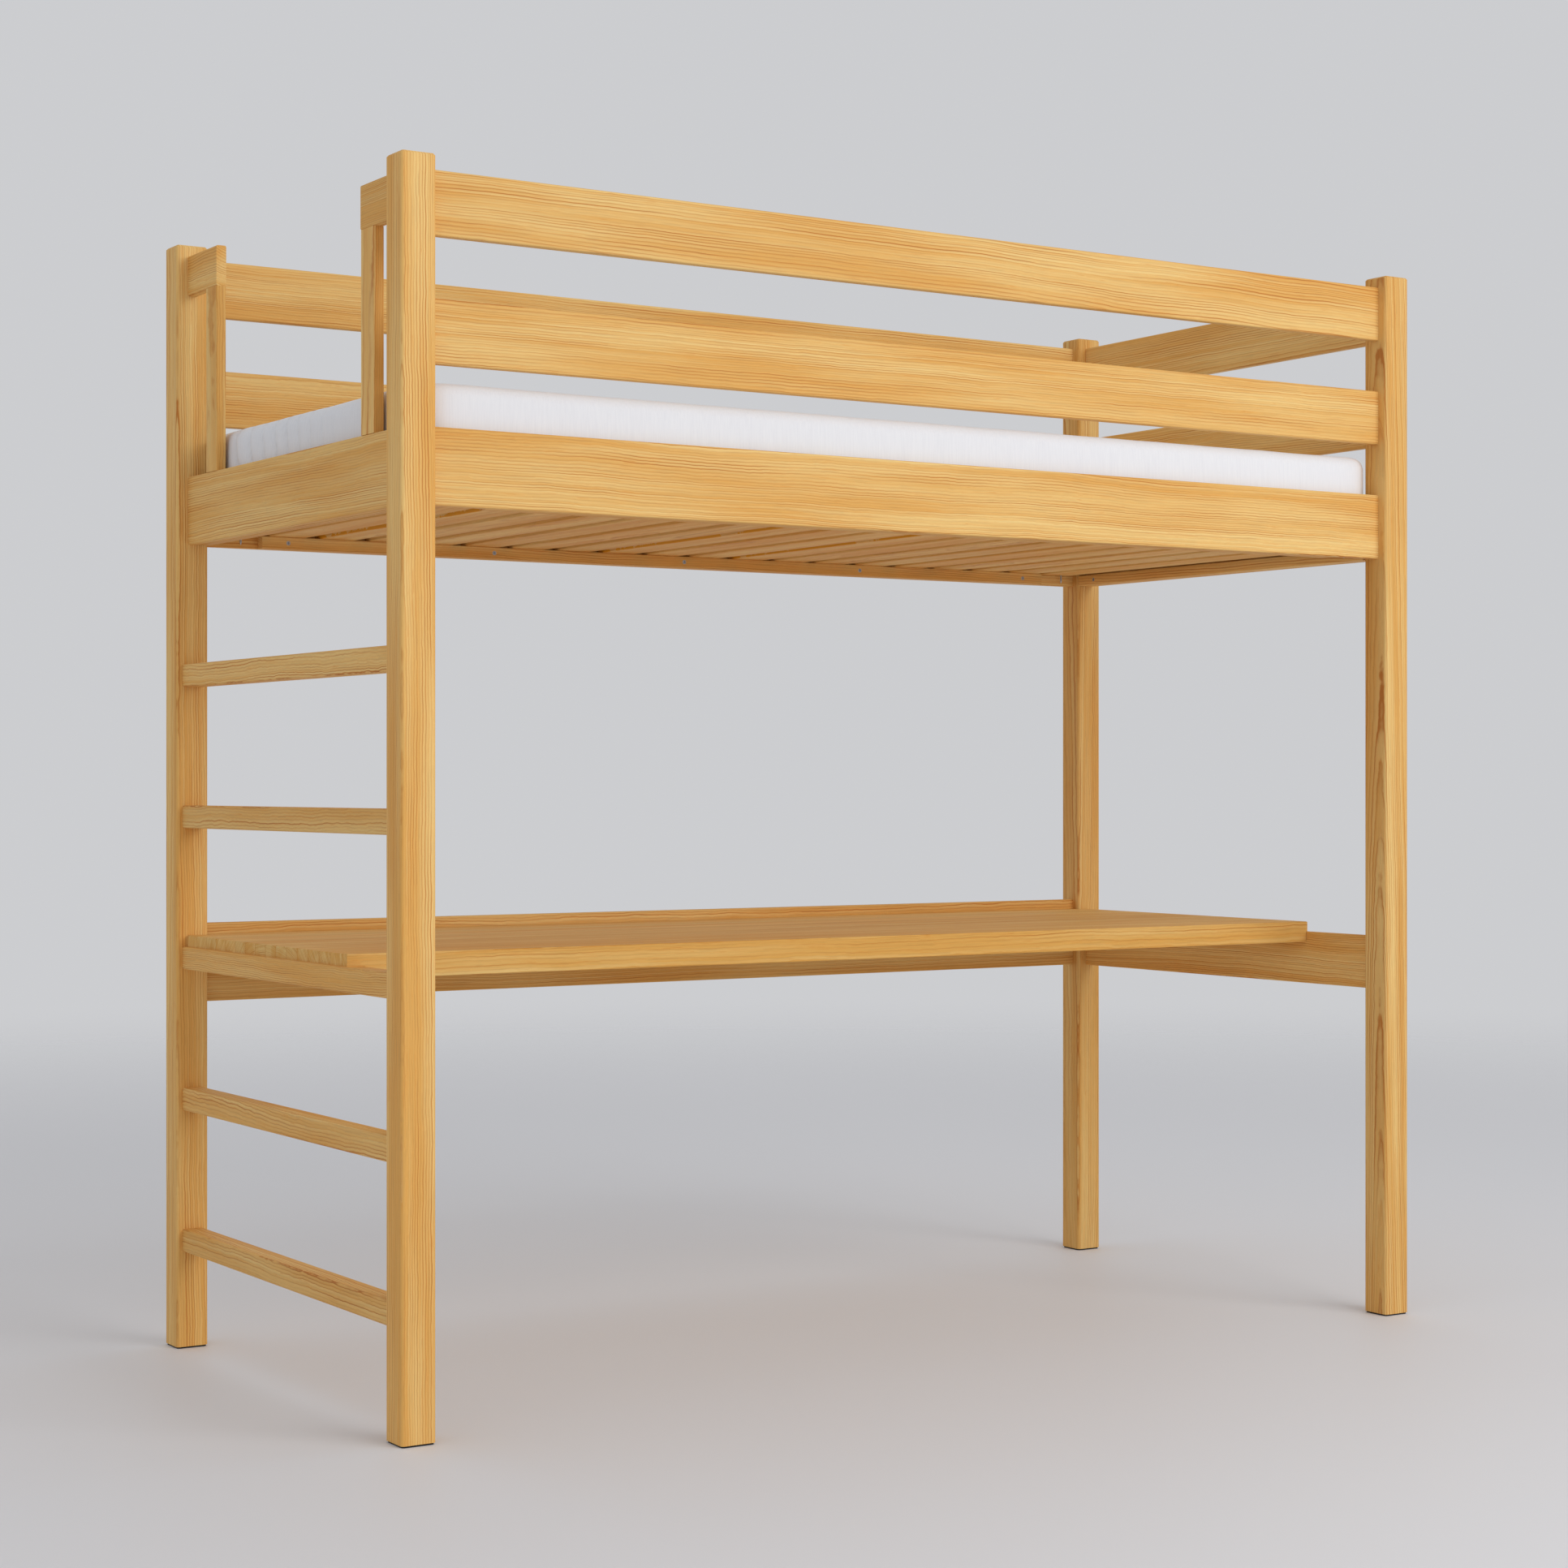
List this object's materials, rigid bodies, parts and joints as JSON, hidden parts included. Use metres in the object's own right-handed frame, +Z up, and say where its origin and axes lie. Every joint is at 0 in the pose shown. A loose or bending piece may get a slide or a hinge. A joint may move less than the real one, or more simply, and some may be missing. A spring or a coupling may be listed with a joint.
{
  "type": "loft bed with desk",
  "caption": "High pine bed on square posts with guard boards, a slatted base and mattress, an end ladder with hand-holds, and a deep desktop along the back beneath it.",
  "frame": {"origin": "on the floor, under the middle of the bed", "axes": "+X along the bed, away from the ladder end; +Y towards the wall; +Z up"},
  "size_m": [2.084, 0.981, 1.955],
  "materials": {
    "pine": "clear satin varnish on planed pine",
    "beech": "fluted beech, unfinished",
    "zinc_steel": "bright zinc plating",
    "felt": "pressed black felt",
    "mattress_fabric": "white woven cover"
  },
  "bodies": {
    "bed_frame": {"batten_screws": "zinc_steel", "desk_cleat_back": "pine", "desk_cleat_right": "pine", "desk_rail_back": "pine", "desk_rail_right": "pine", "desktop": "pine", "dowels": "beech", "end_rail_left": "pine", "end_rail_right": "pine", "foot_pads": "felt", "guard_back_lower": "pine", "guard_back_upper": "pine", "guard_front_lower": "pine", "guard_front_upper": "pine", "guard_right_lower": "pine", "guard_right_upper": "pine", "handle_block_back": "pine", "handle_block_front": "pine", "handle_stile_back": "pine", "handle_stile_front": "pine", "ledger_back": "pine", "ledger_front": "pine", "ledger_left": "pine", "ledger_right": "pine", "plate_screws": "zinc_steel", "post_back_left": "pine", "post_back_right": "pine", "post_front_left": "pine", "post_front_right": "pine", "post_slot_plates": "zinc_steel", "rail_hook_plates": "zinc_steel", "rung_1": "pine", "rung_2": "pine", "rung_3": "pine", "rung_4": "pine", "rung_5": "pine", "side_rail_back": "pine", "side_rail_front": "pine", "slat_01": "pine", "slat_02": "pine", "slat_03": "pine", "slat_04": "pine", "slat_05": "pine", "slat_06": "pine", "slat_07": "pine", "slat_08": "pine", "slat_09": "pine", "slat_10": "pine", "slat_11": "pine", "slat_12": "pine", "slat_13": "pine", "slat_14": "pine", "slat_15": "pine", "slat_16": "pine", "slat_17": "pine", "slat_18": "pine", "slat_19": "pine", "slat_20": "pine", "slat_screws": "zinc_steel"},
    "mattress": {"mattress": "mattress_fabric"}
  },
  "joints": [
    {"name": "mattress_lift", "type": "slide", "parent": "bed_frame", "child": "mattress", "axis": [0, 0, 1], "range_m": [0, 0.5]}
  ]
}
